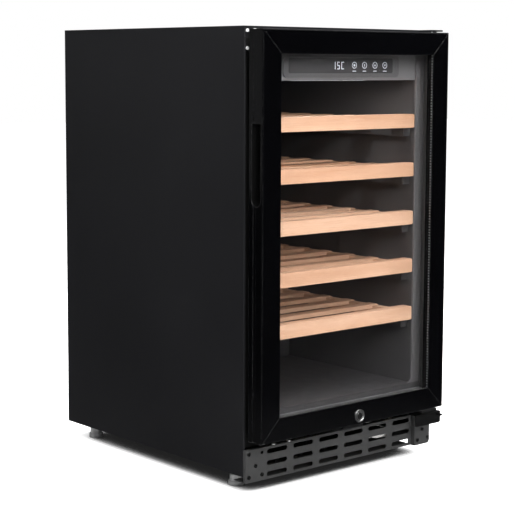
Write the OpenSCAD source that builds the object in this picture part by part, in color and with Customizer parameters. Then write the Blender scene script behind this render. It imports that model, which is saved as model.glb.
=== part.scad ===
// Under-counter wine cooler with a glass door and five wooden shelves.
// Millimetres. X is the width, the door faces -Y, Z is up from the floor.

/* [Cabinet] */
// overall width
cab_w = 465; // [440:5:600]
// overall depth with the door
cab_d = 600; // [560:5:620]
// overall height on its feet
cab_h = 820; // [815:1:880]
// height of the side panels' lower edge
skirt_z = 31; // [20:1:50]
// thickness of the steel skins
skin_t = 0.8; // [0.6:0.1:2]
// y of the cabinet's front plane
front_y = -250; // [-260:1:-240]

/* [Cavity] */
// half the inner width
liner_hw = 192; // [170:1:215]
// floor height of the cavity
liner_z0 = 143; // [120:1:180]
// ceiling height of the cavity
liner_z1 = 776; // [740:1:790]
// y of the cavity's rear wall
liner_y1 = 245; // [200:1:255]
// y where the step over the compressor starts
step_y = 103; // [60:1:140]
// height of that step
step_z = 262; // [220:1:264]
// thickness of the plastic liner
liner_t = 2; // [1:0.5:4]

/* [Door] */
// lower edge of the door
door_z0 = 98; // [90:1:120]
// upper edge of the door
door_z1 = 815; // [800:1:816]
// face width of the door frame
frame_w = 42.5; // [30:0.5:60]
// y of the door's front face
door_y0 = -298.5; // [-299:0.5:-290]
// y of the door frame's back face
door_y1 = -263; // [-270:0.5:-262]
// x of the hinge axis
hinge_x = 222; // [215:1:225]
// y of the hinge axis
hinge_y = -271; // [-275:1:-268]
// radius of the hinge pins
hinge_r = 4; // [3:0.5:5]
// running clearance of pins and shafts, radial
run_c = 0.05; // [0.01:0.01:0.1]

/* [Grip] */
// lower end of the grip pocket
grip_z0 = 511; // [300:1:600]
// upper end of the grip pocket
grip_z1 = 655; // [450:1:760]
// width of the grip pocket
grip_w = 25; // [20:1:26]
// depth of the grip pocket
grip_d = 18; // [12:1:22]

/* [Shelves] */
// top of the highest shelf
shelf_top = 662; // [640:1:680]
// distance from shelf to shelf
shelf_pitch = 92.25; // [80:0.25:100]
// number of shelves, each with nodes of its own
shelf_count = 5; // [5:1:5]
// height of the wooden front trim
trim_h = 26; // [18:1:34]
// half the width of the trim
trim_hw = 190.5; // [160:0.5:191]
// y of the trim's front face
trim_y = -248; // [-248:1:-230]
// number of cross slats in a shelf
slat_count = 7; // [4:1:9]

/* [Grille] */
// lower edge of the kick grille
grille_z0 = 21; // [18:1:24]
// upper edge of the kick grille
grille_z1 = 80; // [78:1:82]
// right end of the kick grille
grille_x1 = 189; // [150:1:189]
// length of a slot
slot_l = 48.5; // [30:0.5:55]
// height of a slot
slot_h = 8.5; // [4:0.5:10]

/* [Feet] */
// radius of a foot's pad
foot_r = 14; // [12:1:20]
// radius of a foot's screw
foot_stem_r = 5; // [4:0.5:6]

/* [Lock] */
// x of the lock
lock_x = 6; // [-20:1:20]
// height of the lock
lock_z = 114; // [112:1:116]
// radius of the lock's bezel
lock_r = 12; // [8:0.5:13]

/* [Hidden] */
$fn = 48;
hw = cab_w / 2;
back_y = cab_d / 2;
foam_z0 = 98;          // underside of the foam over the base space
pan_y0 = front_y + 32; // front of the base pan
comp_y = 145;          // front of the machine space
comp_z = 222;          // top of the machine space
flange_y = front_y + 4;
flange_z0 = 84;        // lower edge of the front flange
pane_t = 4;
glass_y0 = door_y0 + 1.5;
glass_y1 = glass_y0 + 16;
pane_u = [28.5, 34.5];  // from the door's edge to the panes' edges: sides, ends
spacer_u = [37, 40.5];  // to the spacer's inner faces
groove_u = [28, 33.5];  // to the bottoms of the grooves
lip_u = [36.5, 38.5];   // to the edges of the back lips at the glass
back_u = [18, 31];      // to the edges of the back lips at the gasket
gasket_x1 = 219;
gasket_w = 8;
gasket_z0 = 124.8;
gasket_z1 = 801;
gasket_back = front_y - 0.4;
grip_y = -281.5;
lock_back = door_y1;
side_rail_x = 186;
rack_y1 = 190;
header_z0 = 726;
foot_pos = [[-200, -192], [200, -192], [-195, 256], [195, 256]];
comp_pos = [92, 222];  // compressor
cfan_pos = [-95, 96];  // condenser fan, x and z
drier_pos = [104, -246, 50.5];
afan_z = 612;          // cavity fan
grille_y = front_y - 7.5;
slot_x0 = -183.5;      // left end of the first slots
slot_pitch = 63.7;
slot_rows = [71, 50, 30];
bracket_x0 = 190.5;    // left side of the lower hinge bracket
bracket_y = front_y - 15;
bracket_t = 3;
cover_x0 = 163;        // left end of the hinge cover
cover_y0 = -293;
screw_hole_r = 1.85;
// screws as [x, z]
grille_screws = [[-226.5, 73], [-211, 50], [-226.5, 31], [-196, 32]];
lower_screws = [[210.5, 50], [198, 30], [226.5, 32]];
upper_screws = [[226.5, 774], [226.5, 790]];
spare_screws = [[-226.5, 782], [-226.5, 812]];
strike_screws = [[-24, 91.5], [36, 91.5]];
lip_screws = [-165, -128];  // x of the screws through the grille's upper lip
eps = 0.01;

C_BLACK = [0.05, 0.05, 0.055];
C_SKIN = [0.15, 0.15, 0.165];
C_GREY = [0.3, 0.3, 0.31];
C_STEEL = [0.7, 0.7, 0.71];
C_WOOD = [0.93, 0.8, 0.66];
C_GLASS = [0.4, 0.44, 0.46, 0.3];
C_RUBBER = [0.07, 0.07, 0.07];
C_FOAM = [0.85, 0.8, 0.6];
C_COPPER = [0.75, 0.45, 0.3];

// ---- helpers ----

// box from one corner to the opposite corner
module block(a, b) {
  translate(a)
    cube(b - a);
}

// rectangle with true rounded corners, centred
module round_rect(w, h, r) {
  square([w - 2 * r, h], center = true);
  square([w, h - 2 * r], center = true);
  for (sx = [-1, 1], sy = [-1, 1])
    translate([sx * (w / 2 - r), sy * (h / 2 - r)])
      circle(r);
}

// flat plate in the XZ plane with rounded corners, from y0 to y1
module plate_xz(x0, x1, z0, z1, y0, y1, r) {
  translate([(x0 + x1) / 2, y1, (z0 + z1) / 2])
    rotate([90, 0, 0])
      linear_extrude(y1 - y0)
        round_rect(x1 - x0, z1 - z0, r);
}

// disc along Y
module disc_y(x, z, y0, y1, r) {
  translate([x, y0, z])
    rotate([-90, 0, 0])
      cylinder(r = r, h = y1 - y0);
}

// slot along X with round ends, cut along Y
module slot_y(x0, x1, z, h, y0, y1) {
  plate_xz(x0, x1, z - h / 2, z + h / 2, y0, y1, h / 2 - eps);
}

function shelf_z(i) = shelf_top - (i - 1) * shelf_pitch;

// ---- cabinet skins ----

module side_skin() {
  union() {
    block([-hw, front_y, skirt_z], [-hw + skin_t, back_y, cab_h]);
    block([-hw + skin_t, front_y, skirt_z], [-hw + 3.4, front_y + skin_t, cab_h - 22]);
    block([-hw + skin_t, front_y + skin_t, skirt_z], [-hw + 12, back_y, skirt_z + skin_t]);
  }
}

module side_panel_left() {
  color(C_SKIN) side_skin();
}

module side_panel_right() {
  color(C_SKIN)
    mirror([1, 0, 0])
      side_skin();
}

module top_panel() {
  color(C_SKIN) {
    difference() {
      union() {
        block([-hw + skin_t, front_y, cab_h - skin_t], [hw - skin_t, back_y, cab_h]);
        block([-hw + skin_t, front_y, cab_h - 20], [hw - skin_t, front_y + 4, cab_h]);
      }
      block([203, front_y - 1, cab_h - 3], [hw, front_y + 4, cab_h + 1]);
      screw_holes(spare_screws, front_y);
    }
  }
}

module back_panel() {
  color(C_SKIN)
    block([-hw + skin_t, back_y - skin_t, comp_z + 6], [hw - skin_t, back_y, cab_h - skin_t]);
}

module base_pan() {
  color(C_SKIN)
    difference() {
      union() {
        block([-hw + 12, pan_y0, 29.5], [hw - 12, back_y - 2, 31]);
        block([-hw + 12, pan_y0, 31], [hw - 12, pan_y0 + 1.5, 44]);
        for (p = foot_pos)
          translate([p[0], p[1], 31])
            cylinder(r = 9, h = 18);
      }
      for (p = foot_pos)
        translate([p[0], p[1], 20])
          cylinder(r = foot_stem_r, h = 40);
      for (x = [-150 : 30 : 30])
        block([x, pan_y0 - 1, 34], [x + 22, pan_y0 + 3, 41]);
    }
}

// ---- insulated body ----

module insulation_foam() {
  color(C_FOAM)
    difference() {
      block([-hw + skin_t, flange_y, foam_z0], [hw - skin_t, back_y - skin_t, cab_h - skin_t]);
      block([-liner_hw - liner_t, flange_y - 1, liner_z0 - liner_t],
            [liner_hw + liner_t, step_y + liner_t, liner_z1 + liner_t]);
      block([-liner_hw - liner_t, 0, step_z - liner_t],
            [liner_hw + liner_t, liner_y1 + liner_t, liner_z1 + liner_t]);
      block([-hw, comp_y, foam_z0 - 1], [hw, back_y + 1, comp_z]);
      block([-hw + 1, front_y, cab_h - 20], [hw - 1, flange_y, cab_h]);
    }
}

module liner_space(g, y_front) {
  block([-liner_hw - g, y_front, liner_z0 - g], [liner_hw + g, step_y + g, liner_z1 + g]);
  block([-liner_hw - g, 0, step_z - g], [liner_hw + g, liner_y1 + g, liner_z1 + g]);
}

module inner_liner() {
  color(C_GREY)
    difference() {
      liner_space(liner_t, flange_y);
      liner_space(0, flange_y - 1);
    }
}

module front_flange() {
  color(C_GREY)
    difference() {
      block([-hw + 3.4, front_y, flange_z0], [hw - 3.4, flange_y, cab_h - 20]);
      plate_xz(-liner_hw, liner_hw, liner_z0, liner_z1, front_y - 1, flange_y + 1, 14);
      screw_holes(spare_screws, front_y);
    }
}

module runner(s, i) {
  z1 = shelf_z(i) - trim_h - 1;
  block([s > 0 ? 174 : -liner_hw, -236, z1 - 15], [s > 0 ? liner_hw : -174, 98, z1]);
}

module shelf_runners() {
  color(C_GREY)
    for (i = [1 : shelf_count], s = [-1, 1])
      runner(s, i);
}

// ---- header and controls ----

module header_panel() {
  color(C_GREY)
    difference() {
      union() {
        block([-liner_hw, flange_y, header_z0], [liner_hw, flange_y + 3, liner_z1]);
        block([-liner_hw, flange_y, header_z0], [liner_hw, -160, header_z0 + 2]);
        for (x = [-60, 0, 60])
          translate([x, flange_y + 1.6, header_z0 + 0.2])
            sphere(r = 1.6);
      }
      block([-90, -215, header_z0 - 1], [90, -195, header_z0 + 3]);
    }
}

module control_housing() {
  color(C_GREY)
    union() {
      plate_xz(-145, 145, header_z0 + 5, liner_z1 - 5, flange_y - 3, flange_y, 9);
      block([-120, flange_y + 3, header_z0 + 8], [120, -175, liner_z1 - 6]);
    }
}

module control_glass() {
  color(C_BLACK)
    plate_xz(-133, 127, 739, 766, flange_y - 4.2, flange_y - 3, 4);
}

// one seven-segment figure; on lists the lit segments a to g
module figure7(x, z, on) {
  w = 6.4;
  h = 13.5;
  t = 1.6;
  y0 = flange_y - 4.4;
  seg = [[0, h - t, w, h], [w - t, h / 2, w, h], [w - t, 0, w, h / 2], [0, 0, w, t],
         [0, 0, t, h / 2], [0, h / 2, t, h], [0, h / 2 - t / 2, w, h / 2 + t / 2]];
  for (k = on)
    block([x + seg[k][0], y0, z + seg[k][1]], [x + seg[k][2], y0 + 0.2, z + seg[k][3]]);
}

module ring_mark(x, z) {
  y0 = flange_y - 4.4;
  difference() {
    disc_y(x, z, y0, y0 + 0.2, 6);
    disc_y(x, z, y0 - 1, y0 + 1, 4.9);
  }
}

module tri_mark(x, z, s) {
  y0 = flange_y - 4.4;
  translate([x, y0 + 0.2, z])
    rotate([90, 0, 0])
      linear_extrude(0.2)
        polygon([[-2.4, -s * 1.5], [2.4, -s * 1.5], [0, s * 2.2]]);
}

module display_marks() {
  y0 = flange_y - 4.4;
  color([0.9, 0.95, 1]) {
    figure7(-27, 746, [1, 2]);
    figure7(-16.5, 746, [0, 5, 6, 2, 3]);
    figure7(-6, 746, [0, 3, 4, 5]);
    for (x = [27, 53, 80, 106]) {
      ring_mark(x, 753.5);
      block([x - 4.5, y0, 742.2], [x + 4.5, y0 + 0.2, 743.4]);
    }
    disc_y(27, 753.5, y0, y0 + 0.2, 2.2);
    block([52.3, y0, 751], [53.7, y0 + 0.2, 756]);
    tri_mark(80, 753.5, 1);
    tri_mark(106, 753.5, -1);
  }
}

module light_lens() {
  color([0.95, 0.97, 1])
    block([-90, -215, header_z0 - 0.6], [90, -195, header_z0 + 2]);
}

// ---- cold side ----

module evaporator_cover() {
  color(C_GREY)
    difference() {
      block([-160, 203, 300], [160, liner_y1, 700]);
      block([-158, 205, 302], [158, liner_y1 + 1, 698]);
      for (z = [320 : 14 : 404], x = [-110, 0, 110])
        slot_y(x - 40, x + 40, z, 6, 200, 208);
      for (a = [0 : 30 : 330])
        translate([0, 200, afan_z])
          rotate([0, a, 0])
            block([18, 0, -4], [46, 8, 4]);
    }
}

// finned block: fins across X with tubes along X
module fin_block(x0, x1, y0, y1, z0, z1, pitch, tube_r, rows, cols) {
  dy = (y1 - y0) / (cols + 1);
  dz = (z1 - z0) / (rows + 1);
  union() {
    for (x = [x0 : pitch : x1])
      block([x, y0, z0], [x + 0.8, y1, z1]);
    for (r = [1 : rows], c = [1 : cols])
      translate([x0 - 8, y0 + c * dy, z0 + r * dz])
        rotate([0, 90, 0])
          cylinder(r = tube_r, h = x1 - x0 + 17);
  }
}

module evaporator() {
  color(C_STEEL)
    fin_block(-130, 120, 211, 241, 330, 520, 10, 4, 3, 1);
}

// fan frame, axis along +Z from 0 to depth
module fan_frame(size, bore_r, depth, hub_r) {
  difference() {
    union() {
      difference() {
        translate([-size / 2, -size / 2, 0])
          cube([size, size, depth]);
        translate([0, 0, -1])
          cylinder(r = bore_r, h = depth + 2);
      }
      translate([0, 0, depth - 9])
        cylinder(r = hub_r, h = 9);
      for (a = [45 : 90 : 315])
        rotate([0, 0, a])
          translate([0, -3, depth - 4])
            cube([bore_r + 2, 6, 4]);
    }
    translate([0, 0, depth - 10])
      cylinder(r = 2, h = 12);
  }
}

module fan_rotor(blade_r, depth, hub_r) {
  union() {
    translate([0, 0, 3])
      cylinder(r = hub_r, h = depth - 13);
    cylinder(r = 2 - run_c, h = depth - 1);
    intersection() {
      translate([0, 0, 3])
        cylinder(r = blade_r, h = depth - 13);
      for (a = [0 : 60 : 300])
        rotate([0, 0, a])
          translate([hub_r - 2, 0, depth / 2 - 4])
            rotate([38, 0, 0])
              cube([blade_r, 30, 1.6]);
    }
  }
}

module cavity_fan_frame() {
  color(C_BLACK)
    translate([0, 212, afan_z])
      rotate([-90, 0, 0])
        fan_frame(104, 48, 26, 15);
}

module cavity_fan_rotor() {
  color(C_BLACK)
    translate([0, 212, afan_z])
      rotate([-90, 0, 0])
        fan_rotor(45.5, 26, 15);
}

// ---- machine space ----

module compressor() {
  color(C_BLACK)
    translate([comp_pos[0], comp_pos[1], 0])
      union() {
        translate([0, 0, 88])
          cylinder(r = 58, h = 60);
        translate([0, 0, 88])
          shell_dome();
        translate([0, 0, 148])
          shell_dome();
        block([-86, -50, 45], [86, 50, 48]);
        translate([0, 0, 45])
          cylinder(r = 40, h = 20);
        translate([52, 0, 92])
          block([0, -22, 0], [22, 22, 40]);
        translate([0, -30, 180])
          cylinder(r = 4, h = 38);
        translate([0, 30, 180])
          cylinder(r = 5, h = 38);
      }
}

// the rounded end of the compressor shell
module shell_dome() {
  intersection() {
    sphere(r = 58);
    cylinder(r = 58, h = 84, center = true);
  }
}

module compressor_mounts() {
  color(C_RUBBER)
    for (dx = [-74, 74], dy = [-38, 38])
      translate([comp_pos[0] + dx, comp_pos[1] + dy, 31])
        cylinder(r = 11, h = 14);
}

// half ring of tube in XY, open towards -X
module u_bend(bend_r, tube_r) {
  rotate([0, 0, -90])
    rotate_extrude(angle = 180)
      translate([bend_r, 0])
        circle(tube_r);
}

module condenser() {
  color(C_BLACK)
    union() {
      fin_block(-170, -10, -190, -130, 38, 90, 8, 4, 2, 2);
      for (z = [38 + 52 / 3, 38 + 104 / 3])
        translate([-1, -160, z])
          u_bend(10, 4);
    }
}

module filter_drier() {
  can_r = 5;
  can_l = 26;
  color(C_COPPER)
    translate(drier_pos)
      rotate([0, 90, 0])
        union() {
          cylinder(r = can_r, h = can_l);
          translate([0, 0, can_l])
            sphere(r = can_r);
          translate([0, 0, -14])
            cylinder(r1 = 1.6, r2 = can_r, h = 14);
          translate([0, 0, -34])
            cylinder(r = 1.6, h = 21);
        }
}

module condenser_fan_frame() {
  color(C_BLACK)
    translate([cfan_pos[0], 168, cfan_pos[1]])
      rotate([-90, 0, 0])
        fan_frame(130, 60, 30, 18);
}

module condenser_fan_rotor() {
  color(C_STEEL)
    translate([cfan_pos[0], 168, cfan_pos[1]])
      rotate([-90, 0, 0])
        fan_rotor(57, 30, 18);
}

module drain_tray() {
  color(C_BLACK)
    difference() {
      block([-180, 206, 31], [-20, 286, 44]);
      block([-178, 208, 33], [-22, 284, 45]);
    }
}

module rear_cover() {
  color(C_SKIN)
    difference() {
      block([-hw + skin_t, back_y - skin_t, 33], [hw - skin_t, back_y, comp_z + 6]);
      for (z = [90 : 16 : 202], x = [-60, 20, 100])
        slot_y(x - 30, x + 30, z, 7, back_y - 5, back_y + 1);
      block([-204, back_y - 5, 74], [-172, back_y + 1, 98]);
    }
}

module power_inlet() {
  color(C_BLACK)
    union() {
      difference() {
        block([-203.5, back_y - 26, 74.5], [-172.5, back_y, 97.5]);
        block([-200.5, back_y - 20, 77.5], [-175.5, back_y + 1, 94.5]);
      }
      for (p = [[-195, 84], [-181, 84], [-188, 89]])
        block([p[0] - 1, back_y - 20, p[1] - 2], [p[0] + 1, back_y - 4, p[1] + 2]);
    }
}

module electronics_box() {
  color(C_GREY)
    union() {
      block([-hw + skin_t, 206, 110], [-168, 262, 196]);
      block([-hw + skin_t, 204, 196], [-166, 264, 199]);
    }
}

// ---- base front ----

module kick_grille() {
  gy = grille_y;
  color(C_SKIN)
    difference() {
      union() {
        block([-hw, gy, grille_z0], [grille_x1, gy + 1.5, grille_z1]);
        block([grille_x1 - 1.5, gy, grille_z0], [grille_x1, front_y, grille_z1]);
        block([-hw, gy, grille_z0], [-hw + 1.5, front_y, grille_z1]);
        block([-hw, gy, grille_z0], [grille_x1, front_y + 26, grille_z0 + 1.5]);
        block([-hw, gy, grille_z1 - 1.5], [grille_x1, front_y, grille_z1]);
      }
      for (k = [0 : 5], z = slot_rows)
        slot_y(slot_x0 + k * slot_pitch, slot_x0 + k * slot_pitch + slot_l, z, slot_h, gy - 5, gy + 4);
      disc_y(-195, 71.5, gy - 5, gy + 4, 3);
      screw_holes(grille_screws, gy);
      for (x = lip_screws)
        translate([x, gy + 4, grille_z1 - 3])
          cylinder(r = screw_hole_r, h = 6);
    }
}

// pan-head screw facing -Y with its head's back on y
module screw(x, y, z, r = 3.6) {
  difference() {
    union() {
      disc_y(x, z, y - 1.8, y, r);
      disc_y(x, z, y, y + 1.5, 1.8);
    }
    block([x - 2, y - 3, z - 0.4], [x + 2, y - 1, z + 0.4]);
    block([x - 0.4, y - 3, z - 2], [x + 0.4, y - 1, z + 2]);
  }
}

// holes for screws at the points, through sheet near plane y
module screw_holes(points, y) {
  for (p = points)
    disc_y(p[0], p[1], y - 9, y + 9, screw_hole_r);
}

module screws(points, y, r) {
  for (p = points)
    screw(p[0], y, p[1], r);
}

// upright screw with its head on z = 0
module lip_screw() {
  union() {
    cylinder(r = 3.2, h = 1.6);
    translate([0, 0, -3])
      cylinder(r = 1.8, h = 3.1);
  }
}

module cabinet_screws() {
  color(C_STEEL) {
    screws(grille_screws, grille_y, 3.6);
    screws(lower_screws, bracket_y, 3.6);
    screws(upper_screws, front_y - 3, 3);
    screws(spare_screws, front_y, 3);
    screws(strike_screws, front_y - 2, 2.6);
    for (x = lip_screws)
      translate([x, grille_y + 4, grille_z1])
        lip_screw();
  }
}

// a plate before the cabinet with returns to it, and a leaf that carries the pin
module lower_hinge_bracket() {
  x1 = bracket_x0 + bracket_t;
  y1 = bracket_y + bracket_t;
  color(C_SKIN)
    difference() {
      union() {
        block([bracket_x0, bracket_y, 20], [hw, y1, 92]);
        block([bracket_x0, y1, 20], [x1, front_y, 92]);
        block([hw - bracket_t, y1, 20], [hw, front_y, 92]);
        block([bracket_x0, hinge_y - 12, 88.6], [hw, front_y, 92]);
        translate([hinge_x, hinge_y, 90])
          cylinder(r = hinge_r, h = 19);
        translate([hinge_x, hinge_y, 92])
          cylinder(r = 7, h = 4);
      }
      screw_holes(lower_screws, bracket_y);
      translate([hw, bracket_y - 1, 20])
        rotate([0, 45, 0])
          cube([6, 20, 6], center = true);
    }
}

// a front lip and a shelf under the bracket's leaf, open at the left
module hinge_cover() {
  z0 = 66;
  z1 = 88.6;
  color(C_BLACK)
    union() {
      plate_xz(cover_x0, hw, z0, z1, cover_y0, cover_y0 + 2, 3);
      block([cover_x0 + 3, cover_y0 + 2, z1 - 2], [hw, bracket_y, z1]);
      block([cover_x0 + 3, cover_y0, z1 - 4], [hw, cover_y0 + 2, z1]);
      block([hw - 6, cover_y0 - 6, 80], [hw, cover_y0, 83]);
    }
}

module top_hinge_bracket() {
  color(C_SKIN)
    difference() {
      union() {
        block([203, hinge_y - 11, cab_h - 3], [hw, front_y, cab_h]);
        block([203, front_y, cab_h - 3], [hw - skin_t, front_y + 4, cab_h]);
        block([220.5, front_y - 3, 766], [hw, front_y, cab_h - 3]);
        translate([hinge_x, hinge_y, 804])
          cylinder(r = hinge_r, h = 14);
      }
      screw_holes(upper_screws, front_y);
    }
}

module lock_strike() {
  color(C_BLACK)
    difference() {
      union() {
        translate([0, 0, 84])
          linear_extrude(2)
            polygon([[-35, front_y], [60, front_y], [42, -272], [-10, -272]]);
        block([-10, -272, 84], [42, -270, 95]);
        block([-35, front_y - 2, 84], [60, front_y, 96]);
      }
      screw_holes(strike_screws, front_y);
    }
}

// ---- feet ----

module foot(k) {
  color(C_GREY)
    translate([foot_pos[k][0], foot_pos[k][1], 0])
      union() {
        cylinder(r = foot_r - 1, h = 1);
        translate([0, 0, 1])
          cylinder(r = foot_r, h = 7);
        translate([0, 0, 8])
          cylinder(r = foot_r - 2.5, h = 12);
        translate([0, 0, 20])
          cylinder(r = 8, h = 4, $fn = 6);
        cylinder(r = foot_stem_r - run_c, h = 60);
      }
}

module foot_front_left() {
  foot(0);
}

module foot_front_right() {
  foot(1);
}

module foot_rear_left() {
  foot(2);
}

module foot_rear_right() {
  foot(3);
}

// ---- door ----

// section of a frame member: x from the outer edge inwards, y as in the object; k: 0 sides, 1 ends
module member_section(k) {
  polygon([[0, door_y1], [0, -273], [0.8, -274], [0.8, -280], [0, -281],
           [0, door_y0 + 2.5], [0.8, door_y0 + 0.8], [2.5, door_y0],
           [frame_w - 0.6, door_y0], [frame_w, door_y0 + 0.6], [frame_w, glass_y0],
           [groove_u[k], glass_y0], [groove_u[k], glass_y1], [lip_u[k], glass_y1],
           [back_u[k], door_y1 - 0.9], [back_u[k], door_y1]]);
}

// upright member on the left edge, with mitred ends
module member_left(x_side, z0, z1) {
  intersection() {
    translate([-x_side, 0, z0])
      linear_extrude(z1 - z0)
        member_section(0);
    translate([0, -200, 0])
      rotate([90, 0, 0])
        linear_extrude(200)
          polygon([[-x_side - 1, z0 - 1], [-x_side + frame_w + 1, z0 + frame_w + 1],
                   [-x_side + frame_w + 1, z1 - frame_w - 1], [-x_side - 1, z1 + 1]]);
  }
}

// level member on the lower edge, with mitred ends
module member_low(x_side, z0) {
  intersection() {
    translate([x_side, 0, z0])
      rotate([0, -90, 0])
        linear_extrude(2 * x_side)
          member_section(1);
    translate([0, -200, 0])
      rotate([90, 0, 0])
        linear_extrude(200)
          polygon([[-x_side - 1, z0 - 1], [x_side + 1, z0 - 1],
                   [x_side - frame_w - 1, z0 + frame_w + 1],
                   [-x_side + frame_w + 1, z0 + frame_w + 1]]);
  }
}

module bush_holes() {
  translate([hinge_x, hinge_y, door_z0 - 1])
    cylinder(r = 7, h = 15);
  translate([hinge_x, hinge_y, door_z1 - 14])
    cylinder(r = 7, h = 15);
}

// the grip pocket's outline in YZ: flat top, round bottom; g shrinks it
module grip_outline(g) {
  r = grip_w / 2 - g;
  translate([grip_y - r, grip_z0 + grip_w / 2])
    square([2 * r, grip_z1 - g - grip_z0 - grip_w / 2]);
  translate([grip_y, grip_z0 + grip_w / 2])
    circle(r);
}

// the same outline swept inwards from the door's left side
module grip_space(g, x0, x1) {
  translate([x0, 0, 0])
    rotate([90, 0, 90])
      linear_extrude(x1 - x0)
        grip_outline(g);
}

module door_frame_left() {
  color(C_BLACK)
    difference() {
      member_left(hw, door_z0, door_z1);
      grip_space(0, -hw - 5, -hw + grip_d);
    }
}

module door_frame_right() {
  color(C_BLACK)
    difference() {
      mirror([1, 0, 0])
        member_left(hw, door_z0, door_z1);
      bush_holes();
    }
}

module door_frame_bottom() {
  color(C_BLACK)
    difference() {
      member_low(hw, door_z0);
      bush_holes();
      disc_y(lock_x, lock_z, door_y0 - 1, door_y1 + 1, 9);
    }
}

module door_frame_top() {
  color(C_BLACK)
    difference() {
      translate([0, 0, door_z0 + door_z1])
        mirror([0, 0, 1])
          member_low(hw, door_z0);
      bush_holes();
    }
}

// box set in from the door's sides by u[0] and from its ends by u[1]
module inset_block(u, y0, y1) {
  block([-hw + u[0], y0, door_z0 + u[1]], [hw - u[0], y1, door_z1 - u[1]]);
}

module door_glass_outer() {
  color(C_GLASS)
    inset_block(pane_u, glass_y0, glass_y0 + pane_t);
}

module door_glass_inner() {
  color(C_GLASS)
    inset_block(pane_u, glass_y1 - pane_t, glass_y1);
}

module glass_spacer() {
  color(C_BLACK)
    difference() {
      inset_block(pane_u + [1, 1], glass_y0 + pane_t, glass_y1 - pane_t);
      inset_block(spacer_u, glass_y0, glass_y1);
    }
}

module ring_xz(x1, z0, z1, w, y0, y1, r) {
  difference() {
    plate_xz(-x1, x1, z0, z1, y0, y1, r);
    plate_xz(-x1 + w, x1 - w, z0 + w, z1 - w, y0 - 1, y1 + 1, r / 2);
  }
}

module door_gasket() {
  color(C_RUBBER)
    union() {
      ring_xz(gasket_x1, gasket_z0, gasket_z1, gasket_w, door_y1, door_y1 + 4, 6);
      ring_xz(gasket_x1 - 1.5, gasket_z0 + 1.5, gasket_z1 - 1.5, gasket_w - 1.5,
              door_y1 + 4, gasket_back, 5);
    }
}

module grip_insert() {
  color(C_BLACK)
    difference() {
      grip_space(0, -hw + 0.5, -hw + grip_d);
      grip_space(1.5, -hw - 1, -hw + grip_d - 1.5);
    }
}

module hinge_bushes() {
  color(C_STEEL)
    for (z = [door_z0, door_z1 - 14])
      translate([hinge_x, hinge_y, z])
        difference() {
          cylinder(r = 7, h = 14);
          translate([0, 0, -1])
            cylinder(r = hinge_r + run_c, h = 16);
        }
}

// ---- lock ----

module lock_body() {
  color(C_STEEL)
    difference() {
      union() {
        disc_y(lock_x, lock_z, -cab_d / 2, door_y0, lock_r);
        disc_y(lock_x, lock_z, door_y0, lock_back, 9);
      }
      disc_y(lock_x, lock_z, -cab_d / 2 - 1, -cab_d / 2 + 0.8, 9.5);
      disc_y(lock_x, lock_z, -cab_d / 2 - 1, lock_back + 1, 6);
    }
}

module lock_cylinder() {
  tail_y = lock_back + 0.4;
  color(C_STEEL)
    difference() {
      union() {
        disc_y(lock_x, lock_z, -cab_d / 2 + 0.6, tail_y + 0.1, 6 - run_c);
        disc_y(lock_x, lock_z, tail_y, tail_y + 3, 6);
        block([lock_x, tail_y, lock_z - 5], [lock_x + 26, tail_y + 2.4, lock_z + 5]);
      }
      disc_y(lock_x, lock_z + 1.5, -cab_d / 2 - 1, -cab_d / 2 + 9, 1.5);
      block([lock_x - 0.6, -cab_d / 2 - 1, lock_z - 3.4],
            [lock_x + 0.6, -cab_d / 2 + 9, lock_z + 1.5]);
    }
}

// ---- shelves ----

module shelf_trim(i) {
  z = shelf_z(i);
  color(C_WOOD)
    translate([0, 0, z - trim_h / 2])
      difference() {
        plate_xz(-trim_hw, trim_hw, -trim_h / 2, trim_h / 2, trim_y, trim_y + 20, 3);
        block([-170, trim_y + 12, -6], [170, trim_y + 21, 2]);
      }
}

module shelf_rack(i) {
  z = shelf_z(i);
  z0 = z - trim_h - 0.6;
  y0 = trim_y + 20;
  step = (rack_y1 - y0 - 24) / (slat_count - 1);
  color(C_WOOD)
    union() {
      for (s = [-1, 1])
        block([s > 0 ? side_rail_x - 16 : -side_rail_x, y0, z0],
              [s > 0 ? side_rail_x : -side_rail_x + 16, rack_y1, z - 8]);
      for (k = [0 : slat_count - 1])
        block([-side_rail_x, y0 + k * step, z - 14], [side_rail_x, y0 + k * step + 24, z - 6]);
    }
}

module shelf_1_trim() {
  shelf_trim(1);
}

module shelf_1_rack() {
  shelf_rack(1);
}

module shelf_2_trim() {
  shelf_trim(2);
}

module shelf_2_rack() {
  shelf_rack(2);
}

module shelf_3_trim() {
  shelf_trim(3);
}

module shelf_3_rack() {
  shelf_rack(3);
}

module shelf_4_trim() {
  shelf_trim(4);
}

module shelf_4_rack() {
  shelf_rack(4);
}

module shelf_5_trim() {
  shelf_trim(5);
}

module shelf_5_rack() {
  shelf_rack(5);
}

side_panel_left();
side_panel_right();
top_panel();
back_panel();
base_pan();
insulation_foam();
inner_liner();
front_flange();
shelf_runners();
header_panel();
control_housing();
control_glass();
display_marks();
light_lens();
evaporator_cover();
evaporator();
cavity_fan_frame();
cavity_fan_rotor();
compressor();
compressor_mounts();
condenser();
filter_drier();
condenser_fan_frame();
condenser_fan_rotor();
drain_tray();
rear_cover();
power_inlet();
electronics_box();
kick_grille();
cabinet_screws();
lower_hinge_bracket();
hinge_cover();
top_hinge_bracket();
lock_strike();
foot_front_left();
foot_front_right();
foot_rear_left();
foot_rear_right();
door_frame_left();
door_frame_right();
door_frame_top();
door_frame_bottom();
door_glass_outer();
door_glass_inner();
glass_spacer();
door_gasket();
grip_insert();
hinge_bushes();
lock_body();
lock_cylinder();
shelf_1_trim();
shelf_1_rack();
shelf_2_trim();
shelf_2_rack();
shelf_3_trim();
shelf_3_rack();
shelf_4_trim();
shelf_4_rack();
shelf_5_trim();
shelf_5_rack();
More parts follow.
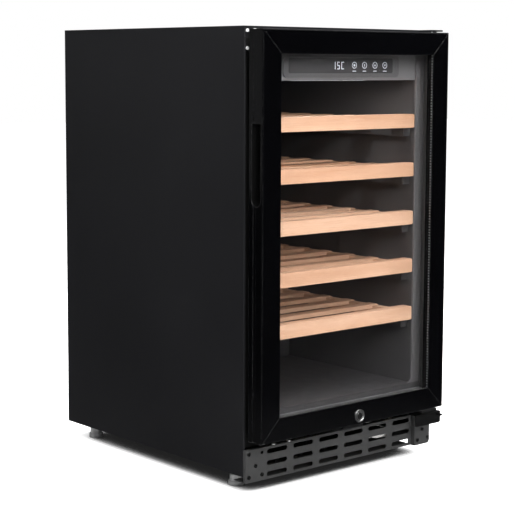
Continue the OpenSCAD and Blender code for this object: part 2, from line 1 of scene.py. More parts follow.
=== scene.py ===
"""Looks of the under-counter wine cooler: materials, details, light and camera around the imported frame."""

import math

import bpy
from mathutils import Matrix, Vector


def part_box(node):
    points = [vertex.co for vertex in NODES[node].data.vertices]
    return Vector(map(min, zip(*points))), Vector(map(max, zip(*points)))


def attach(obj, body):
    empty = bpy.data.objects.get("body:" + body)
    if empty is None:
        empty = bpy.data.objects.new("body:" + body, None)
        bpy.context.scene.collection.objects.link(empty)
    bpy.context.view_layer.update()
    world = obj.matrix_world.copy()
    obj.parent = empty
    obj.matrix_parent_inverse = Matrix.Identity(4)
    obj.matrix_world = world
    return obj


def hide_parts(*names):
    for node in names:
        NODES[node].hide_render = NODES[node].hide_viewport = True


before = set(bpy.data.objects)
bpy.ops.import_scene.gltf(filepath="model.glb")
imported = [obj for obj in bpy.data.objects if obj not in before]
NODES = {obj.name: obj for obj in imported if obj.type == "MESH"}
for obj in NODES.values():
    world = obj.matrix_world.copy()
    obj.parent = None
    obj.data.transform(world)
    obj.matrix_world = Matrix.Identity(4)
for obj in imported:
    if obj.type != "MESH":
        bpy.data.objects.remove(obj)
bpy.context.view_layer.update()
MM = 0.001


# ---- shader helpers ----


class Graph:
    """A material's node tree with short calls to add nodes and links."""

    def __init__(self, name):
        self.material = bpy.data.materials.new(name)
        self.material.use_nodes = True
        self.nodes = self.material.node_tree.nodes
        self.links = self.material.node_tree.links
        self.nodes.clear()

    def add(self, kind, inputs=None, **props):
        node = self.nodes.new("ShaderNode" + kind)
        for key, value in props.items():
            setattr(node, key, value)
        for key, value in (inputs or {}).items():
            if isinstance(value, bpy.types.NodeSocket):
                self.links.new(value, node.inputs[key])
            else:
                node.inputs[key].default_value = value
        return node

    def place(self, stretch=(1, 1, 1), shift=(0, 0, 0)):
        """The point in the object's own frame, stretched and shifted."""
        coords = self.add("TexCoord").outputs["Object"]
        return self.add("Mapping", {"Vector": coords, "Scale": stretch, "Location": shift}).outputs[0]

    def axis(self, name):
        """One coordinate of the point in the object's own frame, in metres."""
        coords = self.add("TexCoord").outputs["Object"]
        return self.add("SeparateXYZ", {0: coords}).outputs[name]

    def noise(self, scale, detail=3.0, rough=0.55, stretch=(1, 1, 1), shift=(0, 0, 0), warp=0.0):
        return self.add(
            "TexNoise",
            {"Vector": self.place(stretch, shift), "Scale": scale, "Detail": detail,
             "Roughness": rough, "Distortion": warp},
        ).outputs[0]

    def ramp(self, fac, stops):
        node = self.add("ValToRGB", {"Fac": fac})
        points = node.color_ramp.elements
        while len(points) < len(stops):
            points.new(0.5)
        for point, (at, colour) in zip(points, stops):
            point.position = at
            point.color = (*colour, 1) if len(colour) == 3 else colour
        return node.outputs[0]

    def span(self, value, low, high, to_low, to_high):
        """Value from low to high, moved to the range to_low to to_high."""
        return self.add(
            "MapRange",
            {"Value": value, "From Min": low, "From Max": high, "To Min": to_low, "To Max": to_high},
        ).outputs[0]

    def math(self, operation, a, b=0.0):
        node = self.add("Math", {0: a, 1: b}, operation=operation)
        return node.outputs[0]

    def mix(self, fac, a, b):
        node = self.add("Mix", {0: fac, 6: a, 7: b}, data_type="RGBA")
        return node.outputs[2]

    def bump(self, height, strength, depth, under=None):
        inputs = {"Height": height, "Strength": strength, "Distance": depth}
        if under is not None:
            inputs["Normal"] = under
        return self.add("Bump", inputs).outputs[0]

    def edge(self, radius):
        """How near a point is to an edge: 0 on flats, towards 1 on edges."""
        soft = self.add("Bevel", {"Radius": radius}, samples=4).outputs[0]
        hard = self.add("NewGeometry").outputs["Normal"]
        same = self.add("VectorMath", {0: soft, 1: hard}, operation="DOT_PRODUCT").outputs["Value"]
        return self.span(same, 0.98, 0.75, 0.0, 1.0)

    def finish(self, shader):
        self.links.new(shader, self.add("OutputMaterial").inputs["Surface"])
        return self.material


def grey(value, tint=0.0):
    return (value, value, value * (1 + tint))


def surface(name, tones, rough, grain, metal=0.0, coat=0.0, tone_scale=5.0, stretch=(1, 1, 1),
            edge_wear_and_highlight=None, waves=0.0):
    """A plain finish: clouded colour, smeared roughness, fine grain in relief, and edges of another tone: wear
    on most finishes, a painted highlight on the gloss black frame.

    grain is its scale, depth in metres and strength. edge_wear_and_highlight is an edge's reach in metres and
    its colour.
    waves is the depth in metres of the slow unevenness of a sheet.
    """
    g = Graph(name)
    cloud = g.noise(tone_scale, 4.0, 0.6)
    colour = g.ramp(cloud, [(0.3, tones[0]), (0.7, tones[1])])
    fine = g.noise(grain[0], 2.0, 0.5, stretch)
    smear = g.noise(tone_scale * 7, 5.0, 0.65, (1, 1, 0.35), (3.1, 1.7, 0.4))
    spread = g.math("ADD", g.math("MULTIPLY", fine, 0.4), g.math("MULTIPLY", smear, 0.6))
    roughness = g.span(spread, 0.3, 0.7, rough[0], rough[1])
    # edges of another tone: wear on most finishes, and on the gloss black frame a painted highlight along its
    # edges
    if edge_wear_and_highlight:
        marks = g.math("MULTIPLY", g.edge(edge_wear_and_highlight[0]), g.span(g.noise(160, 4.0, 0.7), 0.42, 0.62, 0.0, 1.0))
        colour = g.mix(marks, colour, (*edge_wear_and_highlight[1], 1))
    normal = g.bump(fine, grain[2], grain[1])
    if waves:
        normal = g.bump(g.noise(9, 1.0, 0.4, (1, 1, 0.5), (0.7, 0.2, 0.9)), 0.5, waves, normal)
    shader = g.add(
        "BsdfPrincipled",
        {"Base Color": colour, "Roughness": roughness, "Metallic": metal, "Normal": normal,
         "Coat Weight": coat, "Coat Roughness": 0.05, "Specular IOR Level": 0.5},
    )
    return g.finish(shader.outputs[0])


def screw_finish(name, dark, pale):
    """Blackened screws; those in the grille's upper lip and at the cabinet's upper left corner carry a painted
    highlight: pale non-metal caps that stand for their glints.
    """
    g = Graph(name)
    grille_top, lip_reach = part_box("kick_grille")[1].z, 0.003
    corner_z, corner_x = 0.775, 0.222
    fine = g.noise(1400, 2.0)
    off_lip = g.math("ABSOLUTE", g.math("SUBTRACT", g.axis("Z"), grille_top))
    on_lip = g.math("LESS_THAN", off_lip, lip_reach)
    on_corner = g.math("MULTIPLY", g.math("GREATER_THAN", g.axis("Z"), corner_z),
                       g.math("LESS_THAN", g.axis("X"), -corner_x))
    # painted highlight: pale non-metal caps on these screws stand for their glints
    painted_glint_mask = g.math("MAXIMUM", on_lip, on_corner)
    colour = g.mix(painted_glint_mask, g.ramp(fine, [(0.3, grey(dark[0])), (0.7, grey(dark[1]))]), (*grey(pale), 1))
    shader = g.add(
        "BsdfPrincipled",
        {"Base Color": colour, "Roughness": g.span(fine, 0.3, 0.7, 0.18, 0.30),
         "Metallic": g.span(painted_glint_mask, 0.0, 1.0, 1.0, 0.0), "Normal": g.bump(fine, 0.4, 0.00003)},
    )
    return g.finish(shader.outputs[0])


def inside_seal(name, tones, outer):
    """Moulded front flange: grey inside the door's seal, with painted shade: near black outside it, where the
    gap to the door lies in shade, and darker below the sill height.
    """
    g = Graph(name)
    half_w, z0, z1, sill, soft = 0.2125, 0.129, 0.797, 0.1432, 0.0004
    painted_sill_shade = (*grey(0.04), 1)
    past_side = g.math("SUBTRACT", g.math("ABSOLUTE", g.axis("X")), half_w)
    past_low = g.math("SUBTRACT", z0, g.axis("Z"))
    past_high = g.math("SUBTRACT", g.axis("Z"), z1)
    past = g.math("MAXIMUM", past_side, g.math("MAXIMUM", past_low, past_high))
    colour = g.ramp(g.noise(9, 4.0, 0.6), [(0.3, tones[0]), (0.7, tones[1])])
    # painted shade: the flange below the sill height is darkened
    colour = g.mix(g.span(g.axis("Z"), sill, sill + soft, 1.0, 0.0), colour, painted_sill_shade)
    # painted shade: near black outside the seal, where the gap between cabinet and door lies in shade
    colour = g.mix(g.span(past, 0.0, soft, 0.0, 1.0), colour, (*outer, 1))
    fine = g.noise(1700, 2.0)
    shader = g.add(
        "BsdfPrincipled",
        {"Base Color": colour, "Roughness": g.span(g.noise(60, 5.0, 0.65), 0.3, 0.7, 0.36, 0.5),
         "Normal": g.bump(fine, 0.4, 0.00004)},
    )
    return g.finish(shader.outputs[0])


def glowing(name, tones, strength, grain_scale):
    """A diffusing lamp lens, or printed display marks whose emission is a painted glow."""
    g = Graph(name)
    colour = g.ramp(g.noise(grain_scale, 3.0), [(0.35, tones[0]), (0.65, tones[1])])
    rough = g.span(g.noise(grain_scale * 3, 2.0), 0.3, 0.7, 0.25, 0.45)
    shader = g.add(
        "BsdfPrincipled",
        {"Base Color": colour, "Roughness": rough, "Emission Color": colour,
         "Emission Strength": strength, "Normal": g.bump(g.noise(1800, 2.0), 0.3, 0.00005)},
    )
    return g.finish(shader.outputs[0])


def beech(name):
    """Steamed beech: straight grain along X, soft year rings, short dark flecks, fine pores."""
    g = Graph(name)
    rings = g.noise(1.0, 3.0, 0.5, (4, 55, 55), (0.3, 0.1, 0.2), 0.6)
    fibre = g.noise(1.0, 4.0, 0.65, (14, 900, 900), (0.9, 0.4, 0.1))
    board = g.noise(1.0, 1.0, 0.5, (1.2, 2.2, 11), (4.2, 0.6, 0.35))
    tone = g.math("ADD", g.math("MULTIPLY", rings, 0.5), g.math("MULTIPLY", board, 0.5))
    base = g.ramp(tone, [(0.36, (0.50, 0.295, 0.18)), (0.5, (0.57, 0.36, 0.232)),
                         (0.64, (0.625, 0.415, 0.28))])
    streaks = g.ramp(fibre, [(0.3, (0.80, 0.74, 0.68)), (0.62, (1, 1, 1))])
    shaded = g.add("Mix", {0: 0.75, 6: base, 7: streaks}, data_type="RGBA", blend_type="MULTIPLY").outputs[2]
    flecks = g.noise(1.0, 2.0, 0.5, (130, 1300, 1300), (0.2, 0.8, 0.5))
    spots = g.span(flecks, 0.60, 0.68, 0.0, 0.55)
    colour = g.mix(spots, shaded, (0.42, 0.20, 0.095, 1))
    relief = g.math("SUBTRACT", fibre, g.math("MULTIPLY", spots, 0.7))
    shader = g.add(
        "BsdfPrincipled",
        {"Base Color": colour, "Roughness": g.span(fibre, 0.3, 0.7, 0.42, 0.60),
         "Normal": g.bump(relief, 0.45, 0.00008), "Coat Weight": 0.12, "Coat Roughness": 0.3,
         "Specular IOR Level": 0.4},
    )
    return g.finish(shader.outputs[0])


def glass(name, tint, smear_top, print_x=None):
    """Clear pane with a trace of smears, and lamps shine through it. A black printed edge starts at print_x."""
    g = Graph(name)
    smear = g.noise(7, 5.0, 0.7, (1, 1, 0.45), (0.4, 0.3, 0.8))
    tone = g.ramp(g.noise(3, 2.0), [(0.3, tint), (0.7, tuple(min(1.0, c * 1.02) for c in tint))])
    pane = g.add(
        "BsdfPrincipled",
        {"Base Color": tone, "Roughness": g.span(smear, 0.55, 0.75, 0.0, smear_top), "IOR": 1.5,
         "Transmission Weight": 1.0, "Specular IOR Level": 0.5,
         "Normal": g.bump(g.noise(2.5, 1.0), 0.15, 0.0001)},
    )
    clear = g.add("BsdfTransparent", {"Color": tone})
    shadow_ray = g.add("LightPath").outputs["Is Shadow Ray"]
    seen = g.add("MixShader", {0: shadow_ray, 1: pane.outputs[0], 2: clear.outputs[0]}).outputs[0]
    if print_x:
        wander = g.span(g.noise(900, 2.0), 0.0, 1.0, -0.0001, 0.0001)
        out = g.math("ADD", g.math("ABSOLUTE", g.axis("X")), wander)
        ink = g.add(
            "BsdfPrincipled",
            {"Base Color": g.ramp(smear, [(0.3, grey(0.002)), (0.7, grey(0.004))]), "Roughness": 0.12},
        )
        band = g.math("GREATER_THAN", out, print_x)
        seen = g.add("MixShader", {0: band, 1: seen, 2: ink.outputs[0]}).outputs[0]
    return g.finish(seen)


def ribbed(name, tones, rough, rib_scale):
    """Extruded soft profile: fine lines along its length over a dusty surface."""
    g = Graph(name)
    dust = g.noise(40, 5.0, 0.7)
    colour = g.ramp(dust, [(0.35, tones[0]), (0.7, tones[1])])
    lines = g.noise(rib_scale, 3.0, 0.6)
    shader = g.add(
        "BsdfPrincipled",
        {"Base Color": colour, "Roughness": g.span(dust, 0.3, 0.7, *rough),
         "Normal": g.bump(lines, 0.4, 0.00006), "Sheen Weight": 0.15, "Sheen Roughness": 0.5},
    )
    return g.finish(shader.outputs[0])


CLEAR = (0.964, 0.960, 0.966)
PRINTED_EDGE_X = 0.1885
MATERIALS = {
    "skin": surface("painted_sheet_steel", (grey(0.0085, 0.15), grey(0.0125, 0.12)), (0.30, 0.40),
                    (1100, 0.00003, 0.35), tone_scale=2.2, edge_wear_and_highlight=(0.0012, grey(0.035)), waves=0.0004),
    "base_steel": surface("base_sheet_steel", (grey(0.037), grey(0.046)), (0.30, 0.42),
                          (1300, 0.00003, 0.4), tone_scale=14, edge_wear_and_highlight=(0.0008, grey(0.12))),
    # painted highlight: the frame's lighter edge tone stands for the light lines along its edges and mitres
    "frame_black": surface("gloss_black_frame", (grey(0.0007, 0.3), grey(0.0011, 0.3)), (0.07, 0.12),
                           (700, 0.00001, 0.15), coat=0.15, tone_scale=4, waves=0.00006,
                           edge_wear_and_highlight=(0.0008, grey(0.16))),
    "liner": surface("thermoformed_liner", (grey(0.036), grey(0.043)), (0.36, 0.5),
                     (1500, 0.00004, 0.35), tone_scale=6),
    "flange_grey": inside_seal("moulded_flange_painted_shade", (grey(0.092), grey(0.104)), grey(0.003)),
    "panel_grey": surface("moulded_grey", (grey(0.135), grey(0.155)), (0.34, 0.46),
                          (1700, 0.00004, 0.4), tone_scale=9),
    "control_grey": surface("control_housing_grey", (grey(0.082), grey(0.096)), (0.3, 0.42),
                            (1700, 0.00004, 0.4), tone_scale=12, edge_wear_and_highlight=(0.0009, grey(0.2))),
    "black_plastic": surface("textured_black_plastic", (grey(0.008, 0.1), grey(0.011, 0.1)), (0.32, 0.46),
                             (2300, 0.00005, 0.5), tone_scale=12, edge_wear_and_highlight=(0.0006, grey(0.03))),
    "gloss_plastic": surface("polished_black_plastic", (grey(0.003), grey(0.005)), (0.09, 0.17),
                             (900, 0.00002, 0.2), tone_scale=12),
    "steel": surface("zinc_plated_steel", (grey(0.52), grey(0.62)), (0.22, 0.36),
                     (1400, 0.00003, 0.4), metal=1.0, tone_scale=60),
    "dark_steel": screw_finish("blackened_steel_painted_glints", (0.12, 0.2), 0.85),
    "chrome": surface("chrome_plate", (grey(0.78), grey(0.86)), (0.22, 0.34),
                      (900, 0.00001, 0.2), metal=1.0, tone_scale=40),
    "lock_core": surface("turned_nickel", (grey(0.28), grey(0.36)), (0.2, 0.3),
                         (2600, 0.00002, 0.5), metal=1.0, tone_scale=80),
    "rubber": surface("black_rubber", (grey(0.012), grey(0.02)), (0.6, 0.78),
                      (900, 0.00008, 0.5), tone_scale=30),
    "gasket_grey": ribbed("door_seal_rubber", (grey(0.020), grey(0.028)), (0.5, 0.66), 600),
    "control_glass": surface("smoked_panel_glass", (grey(0.062), grey(0.072)), (0.05, 0.1),
                             (500, 0.000004, 0.2), coat=0.4, tone_scale=10),
    # painted glow: the display marks are printed icons given emission to stand bright
    "marks": glowing("display_marks_painted_glow", ((0.62, 0.66, 0.72), (0.72, 0.75, 0.80)), 0.35, 900),
    "lens": glowing("light_diffuser", ((0.86, 0.93, 1.0), (0.95, 0.98, 1.0)), 1.6, 300),
    "aluminium": surface("mill_aluminium", (grey(0.55), grey(0.66)), (0.28, 0.42),
                         (500, 0.00004, 0.5), metal=1.0, tone_scale=25, stretch=(0.1, 1, 1)),
    "fan_aluminium": surface("fan_blade_aluminium", (grey(0.5), grey(0.62)), (0.3, 0.42),
                             (700, 0.00003, 0.4), metal=1.0, tone_scale=40),
    # painted highlight: the filter drier's near-white colour stands for its glint seen through a grille slot
    "copper": surface("filter_drier_painted_glint", ((0.78, 0.76, 0.73), (0.88, 0.87, 0.85)), (0.3, 0.45),
                      (900, 0.00003, 0.4), metal=0.2, tone_scale=50),
    "condenser_paint": surface("condenser_enamel", (grey(0.008), grey(0.012)), (0.3, 0.45),
                               (600, 0.00005, 0.4), tone_scale=30),
    "foam": surface("foamed_insulation", ((0.62, 0.54, 0.36), (0.72, 0.64, 0.46)), (0.75, 0.9),
                    (1400, 0.0002, 0.7), tone_scale=20),
    "galvanised": surface("galvanised_sheet", (grey(0.15), grey(0.19)), (0.34, 0.5),
                          (160, 0.00003, 0.4), metal=0.35, tone_scale=70),
    "compressor_paint": surface("compressor_enamel", (grey(0.009), grey(0.013)), (0.16, 0.26),
                                (260, 0.00006, 0.4), tone_scale=30, edge_wear_and_highlight=(0.001, grey(0.06))),
    "foot_grey": surface("foot_enamel", (grey(0.42), grey(0.50)), (0.3, 0.44),
                         (1500, 0.00004, 0.4), tone_scale=60, edge_wear_and_highlight=(0.0008, grey(0.35))),
    "spacer_bar": surface("anodised_spacer", (grey(0.003), grey(0.005)), (0.16, 0.26),
                          (2200, 0.00002, 0.3), tone_scale=60),
    "spacer_slot": surface("spacer_slot_metal", (grey(0.14), grey(0.20)), (0.3, 0.45),
                           (2200, 0.00002, 0.4), tone_scale=90),
    "beech": beech("steamed_beech"),
    # painted shade: the base pan is near black to darken what shows through the grille's slots
    "pan_black": surface("base_pan_painted_shade_black", (grey(0.003), grey(0.005)), (0.5, 0.65),
                         (900, 0.00004, 0.4), tone_scale=20),
    "glass": glass("insulating_glass", CLEAR, 0.02),
    "edged_glass": glass("edge_printed_glass", CLEAR, 0.02, PRINTED_EDGE_X),
}

LOOKS = {
    "skin": ["side_panel_left", "side_panel_right", "top_panel"],
    "pan_black": ["base_pan"],
    "base_steel": ["kick_grille", "lower_hinge_bracket"],
    "galvanised": ["back_panel", "rear_cover"],
    "frame_black": ["door_frame_left", "door_frame_right", "door_frame_top", "door_frame_bottom"],
    "liner": ["inner_liner", "shelf_runners", "evaporator_cover", "electronics_box"],
    "flange_grey": ["front_flange"],
    "panel_grey": ["header_panel"],
    "control_grey": ["control_housing"],
    "black_plastic": ["lock_strike", "cavity_fan_frame", "cavity_fan_rotor",
                      "condenser_fan_frame", "drain_tray", "power_inlet", "top_hinge_bracket"],
    "gloss_plastic": ["grip_insert", "hinge_cover"],
    "dark_steel": ["cabinet_screws"],
    "steel": ["hinge_bushes"],
    "chrome": ["lock_body"],
    "lock_core": ["lock_cylinder"],
    "rubber": ["compressor_mounts"],
    "gasket_grey": ["door_gasket"],
    "control_glass": ["control_glass"],
    "marks": ["display_marks"],
    "lens": ["light_lens"],
    "aluminium": ["evaporator"],
    "condenser_paint": ["condenser"],
    "fan_aluminium": ["condenser_fan_rotor"],
    "copper": ["filter_drier"],
    "foam": ["insulation_foam"],
    "compressor_paint": ["compressor"],
    "foot_grey": ["foot_front_left", "foot_front_right", "foot_rear_left", "foot_rear_right"],
    "spacer_bar": ["glass_spacer"],
    "beech": [f"shelf_{i}_{part}" for i in range(1, 6) for part in ("trim", "rack")],
    "glass": ["door_glass_outer"],
    "edged_glass": ["door_glass_inner"],
}
for look, names in LOOKS.items():
    for name in names:
        for slot in NODES[name].material_slots:
            slot.material = MATERIALS[look]
missing = sorted(set(NODES) - {name for names in LOOKS.values() for name in names})
assert not missing, missing

# ---- rounded edges on the carried nodes: width in mm and segments ----

ROUNDED = [
    (0.35, 2, ["hinge_cover", "control_housing", "header_panel", "front_flange"]),
    (0.55, 2, ["door_frame_left", "door_frame_right", "door_frame_top", "door_frame_bottom"]),
    (1.2, 3, [f"shelf_{i}_trim" for i in range(1, 6)]),
    (0.8, 2, [f"shelf_{i}_rack" for i in range(1, 6)]),
    (0.25, 2, ["side_panel_left", "side_panel_right", "top_panel", "kick_grille", "rear_cover",
               "lower_hinge_bracket", "top_hinge_bracket", "lock_strike", "control_glass",
               "cabinet_screws", "lock_body", "lock_cylinder", "drain_tray", "power_inlet",
               "electronics_box", "light_lens"]),
    (0.5, 2, ["shelf_runners", "evaporator_cover", "foot_front_left", "foot_front_right",
              "foot_rear_left", "foot_rear_right", "door_glass_outer", "door_glass_inner",
              "cavity_fan_frame", "condenser_fan_frame"]),
]
for width, segments, names in ROUNDED:
    for name in names:
        weld = NODES[name].modifiers.new("weld", "WELD")
        weld.merge_threshold = 0.000002
        bevel = NODES[name].modifiers.new("round", "BEVEL")
        bevel.width = width * MM
        bevel.segments = segments
        bevel.limit_method = "ANGLE"
        bevel.angle_limit = math.radians(40)
        bevel.harden_normals = True

# ---- added pieces ----


def piece(name, verts, faces, body, look, smooth_angle=None):
    """A mesh piece in millimetres that rides on a body."""
    mesh = bpy.data.meshes.new(name)
    mesh.from_pydata([Vector(v) * MM for v in verts], [], faces)
    mesh.validate()
    mesh.update()
    obj = bpy.data.objects.new(name, mesh)
    bpy.context.scene.collection.objects.link(obj)
    mesh.materials.append(MATERIALS[look])
    if smooth_angle:
        mesh.polygons.foreach_set("use_smooth", [True] * len(mesh.polygons))
        mesh.set_sharp_from_angle(angle=math.radians(smooth_angle))
    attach(obj, body)
    return obj


def box_mm(node):
    low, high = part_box(node)
    return low / MM, high / MM


def spacer():
    """The bar between the panes, with a row of wide slots in its inner face."""
    low, high = box_mm("glass_spacer")
    side_t, end_t = 7.5, 5.0
    pitch, slot_half, slot_w, deep = 5.2, 1.2, 2.4, 0.5
    mid = (low.y + high.y) / 2
    verts, faces, recessed = [], [], []

    def quad(a, b, c, d, inside=False):
        start = len(verts)
        verts.extend([a, b, c, d])
        faces.append((start, start + 1, start + 2, start + 3))
        recessed.append(inside)

    x0, x1, z0, z1 = low.x + side_t, high.x - side_t, low.z + end_t, high.z - end_t
    inner = [((x0, z0), (x1, z0), (0, -1)), ((x1, z0), (x1, z1), (1, 0)),
             ((x1, z1), (x0, z1), (0, 1)), ((x0, z1), (x0, z0), (-1, 0))]
    cross = [low.y, mid - slot_w, mid + slot_w, high.y]
    for start, end, out in inner:
        run = Vector(end) - Vector(start)
        count = int(run.length / pitch)
        along = run.normalized()
        cell = run.length / count

        def at(s, y, into=0.0):
            spot = Vector(start) + along * s + Vector(out) * into
            return (spot.x, y, spot.y)

        for k in range(count):
            s0, s3 = k * cell, (k + 1) * cell
            s1, s2 = (s0 + s3) / 2 - slot_half, (s0 + s3) / 2 + slot_half
            for j in range(len(cross) - 1):
                ya, yb = cross[j], cross[j + 1]
                if j % 2 == 0:
                    quad(at(s0, ya), at(s3, ya), at(s3, yb), at(s0, yb))
                    continue
                quad(at(s0, ya), at(s1, ya), at(s1, yb), at(s0, yb))
                quad(at(s2, ya), at(s3, ya), at(s3, yb), at(s2, yb))
                quad(at(s1, ya, deep), at(s2, ya, deep), at(s2, yb, deep), at(s1, yb, deep), True)
                quad(at(s1, ya), at(s2, ya), at(s2, ya, deep), at(s1, ya, deep), True)
                quad(at(s2, yb), at(s1, yb), at(s1, yb, deep), at(s2, yb, deep), True)
                quad(at(s1, yb), at(s1, ya), at(s1, ya, deep), at(s1, yb, deep), True)
                quad(at(s2, ya), at(s2, yb), at(s2, yb, deep), at(s2, ya, deep), True)
    ring = [(x0, z0), (x1, z0), (x1, z1), (x0, z1)]
    rim = [(low.x, low.z), (high.x, low.z), (high.x, high.z), (low.x, high.z)]
    for k in range(4):
        (ax, az), (bx, bz) = ring[k], ring[(k + 1) % 4]
        (cx, cz), (dx, dz) = rim[k], rim[(k + 1) % 4]
        quad((ax, low.y, az), (cx, low.y, cz), (dx, low.y, dz), (bx, low.y, bz))
        quad((bx, high.y, bz), (dx, high.y, dz), (cx, high.y, cz), (ax, high.y, az))
        quad((cx, low.y, cz), (cx, high.y, cz), (dx, high.y, dz), (dx, low.y, dz))
    obj = piece("spacer_bar", verts, faces, "door", "spacer_bar")
    obj.data.materials.append(MATERIALS["spacer_slot"])
    obj.data.polygons.foreach_set("material_index", [int(inside) for inside in recessed])
    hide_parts("glass_spacer")


spacer()


def corner_path(half_w, z0, z1, radius, steps=8):
    """A rounded rectangle in XZ: each corner's centre with the outward directions round it."""
    points = []
    for cx, cz, start in ((half_w - radius, z0 + radius, -90), (half_w - radius, z1 - radius, 0),
                          (-half_w + radius, z1 - radius, 90), (-half_w + radius, z0 + radius, 180)):
        for k in range(steps + 1):
            a = math.radians(start + 90 * k / steps)
            points.append((cx, cz, math.cos(a), math.sin(a)))
    return points


def gasket():
    """The door's seal: a dart root, two bellows folds and a magnet tube, swept round the door."""
    low, high = box_mm("door_gasket")
    y0, y1 = low.y, high.y
    span = y1 - y0
    profile = [(0.0, 0.0), (0.0, 0.10), (0.9, 0.16), (0.9, 0.24), (0.0, 0.32), (0.9, 0.40),
               (0.9, 0.46), (0.2, 0.52), (0.2, 0.92), (0.7, 0.995), (1.6, 1.0), (6.2, 1.0),
               (7.1, 0.995), (7.6, 0.92), (7.6, 0.52), (6.9, 0.46), (6.9, 0.40), (7.9, 0.32),
               (6.9, 0.24), (6.9, 0.16), (7.9, 0.10), (7.9, 0.0)]
    radius = 8.0
    path = corner_path(high.x, low.z, high.z, radius)
    verts, faces = [], []
    for cx, cz, nx, nz in path:
        for inset, y in profile:
            reach = radius - inset
            verts.append((cx + nx * reach, y0 + y * span, cz + nz * reach))
    rows, cols = len(path), len(profile)
    for i in range(rows):
        for j in range(cols):
            a, b = i * cols + j, i * cols + (j + 1) % cols
            c, d = ((i + 1) % rows) * cols + (j + 1) % cols, ((i + 1) % rows) * cols + j
            faces.append((a, d, c, b))
    obj = piece("door_seal", verts, faces, "door", "gasket_grey", 40)
    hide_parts("door_gasket")


gasket()


# ---- floor, light, camera ----


def floor():
    """The pale floor: lit white for the camera, with a painted contact shadow where the object nearly touches
    it, dim in reflections.
    """
    mesh = bpy.data.meshes.new("studio_floor")
    reach = 14
    mesh.from_pydata([(-reach, -reach, 0), (reach, -reach, 0), (reach, reach, 0), (-reach, reach, 0)],
                     [], [(0, 1, 2, 3)])
    obj = bpy.data.objects.new("studio_floor", mesh)
    bpy.context.scene.collection.objects.link(obj)
    g = Graph("pale_floor")
    tone = g.ramp(g.noise(1.5, 3.0), [(0.3, grey(0.9)), (0.7, grey(0.93))])
    open_sky = g.add("AmbientOcclusion", {"Distance": 0.25}, samples=24).outputs["AO"]
    # painted contact shadow: the floor darkens where ambient occlusion finds the object close
    painted_contact_shadow = g.span(open_sky, 0.16, 0.33, 0.02, 1.0)
    lit = g.add("BsdfDiffuse", {"Color": g.mix(painted_contact_shadow, (0, 0, 0, 1), tone)})
    ray = g.add("LightPath")
    reach_out = g.add("VectorMath", {0: g.place()}, operation="LENGTH").outputs["Value"]
    far = g.span(reach_out, 0.7, 2.2, 0.75, 0.95)
    near = g.span(reach_out, 0.5, 0.95, 0.0, 1.0)
    lift = g.math("MULTIPLY", g.math("MULTIPLY", far, painted_contact_shadow), ray.outputs["Is Camera Ray"])
    glow = g.add("Emission", {"Color": (1, 1, 1, 1), "Strength": lift})
    seen = g.add("AddShader", {0: lit.outputs[0], 1: glow.outputs[0]})
    dim = g.add("BsdfDiffuse", {"Color": g.ramp(near, [(0.0, grey(0.03)), (1.0, grey(0.002))])})
    mesh.materials.append(g.finish(g.add(
        "MixShader", {0: ray.outputs["Is Glossy Ray"], 1: seen.outputs[0], 2: dim.outputs[0]}).outputs[0]))


floor()


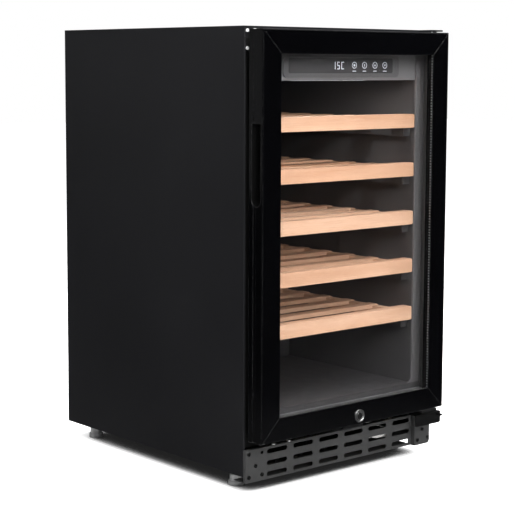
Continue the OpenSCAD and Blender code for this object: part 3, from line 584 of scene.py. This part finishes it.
def studio_world():
    """White to the camera, a soft even room for matt surfaces, a dim one for mirrored views."""
    world = bpy.data.worlds.new("studio")
    bpy.context.scene.world = world
    world.use_nodes = True
    tree = world.node_tree
    tree.nodes.clear()

    def add(kind, **values):
        node = tree.nodes.new("ShaderNode" + kind)
        for key, value in values.items():
            if isinstance(value, bpy.types.NodeSocket):
                tree.links.new(value, node.inputs[key])
            else:
                node.inputs[key].default_value = value
        return node

    up = tree.nodes.new("ShaderNodeSeparateXYZ")
    tree.links.new(tree.nodes.new("ShaderNodeTexCoord").outputs["Generated"], up.inputs[0])
    ramp = tree.nodes.new("ShaderNodeValToRGB")
    tree.links.new(up.outputs["Z"], ramp.inputs["Fac"])
    stops = ramp.color_ramp.elements
    stops[0].position, stops[0].color = 0.15, (0.006, 0.006, 0.007, 1)
    stops[1].position, stops[1].color = 0.8, (0.6, 0.6, 0.62, 1)
    dim = add("Background", Color=ramp.outputs[0], Strength=0.8)
    room = add("Background", Color=(0.97, 0.98, 1.0, 1), Strength=0.30)
    white = add("Background", Color=(1, 1, 1, 1), Strength=1.0)
    path = tree.nodes.new("ShaderNodeLightPath")

    def choose(fac, first, second):
        node = tree.nodes.new("ShaderNodeMixShader")
        tree.links.new(fac, node.inputs[0])
        tree.links.new(first.outputs[0], node.inputs[1])
        tree.links.new(second.outputs[0], node.inputs[2])
        return node

    inner = choose(path.outputs["Is Glossy Ray"], room, dim)
    outer = choose(path.outputs["Is Camera Ray"], inner, white)
    out = tree.nodes.new("ShaderNodeOutputWorld")
    tree.links.new(outer.outputs[0], out.inputs["Surface"])


studio_world()


def softbox(name, spot, aim, size, power, colour=(1, 1, 1)):
    """A rectangular lamp at spot, turned to aim: metres and watts."""
    data = bpy.data.lights.new(name, "AREA")
    data.shape = "RECTANGLE"
    data.size, data.size_y = size
    data.energy = power
    data.color = colour
    obj = bpy.data.objects.new(name, data)
    bpy.context.scene.collection.objects.link(obj)
    obj.location = spot
    obj.rotation_euler = (Vector(aim) - Vector(spot)).to_track_quat("-Z", "Y").to_euler()


softbox("key_front_left", (-1.3, -3.0, 1.9), (0, -0.2, 0.4), (1.4, 1.4), 100)
softbox("overhead", (0.4, -0.35, 3.0), (0, -0.2, 0), (3.2, 2.4), 240)
softbox("side_wash", (-4.0, 4.4, 1.3), (-0.2, 0.1, 0.5), (2.6, 2.6), 2.8)
softbox("cavity_lamp", (0, -0.205, 0.722), (0, -0.1, 0.1), (0.17, 0.018), 0.6, (0.93, 0.97, 1.0))

# the studio camera: place, heading and pitch in degrees, focal length for a 36 mm sensor
CAMERA_AT = (-1.8733, -2.1780, 0.7529)
HEADING, PITCH, ROLL = 40.93, 6.25, 0.229
FOCAL = 103.05
SHIFT_Y = -0.06
camera_data = bpy.data.cameras.new("camera")
camera_data.lens = FOCAL
camera_data.sensor_width = 36
camera_data.shift_y = SHIFT_Y
camera_data.clip_start = 0.05
camera_data.dof.use_dof = False
camera = bpy.data.objects.new("camera", camera_data)
bpy.context.scene.collection.objects.link(camera)
turn = Matrix.Rotation(math.radians(-HEADING), 4, "Z") @ Matrix.Rotation(math.radians(90 - PITCH), 4, "X")
camera.matrix_world = Matrix.Translation(CAMERA_AT) @ turn @ Matrix.Rotation(math.radians(ROLL), 4, "Z")
bpy.context.scene.camera = camera

view = bpy.context.scene.view_settings
view.view_transform = "Standard"
view.look = "None"
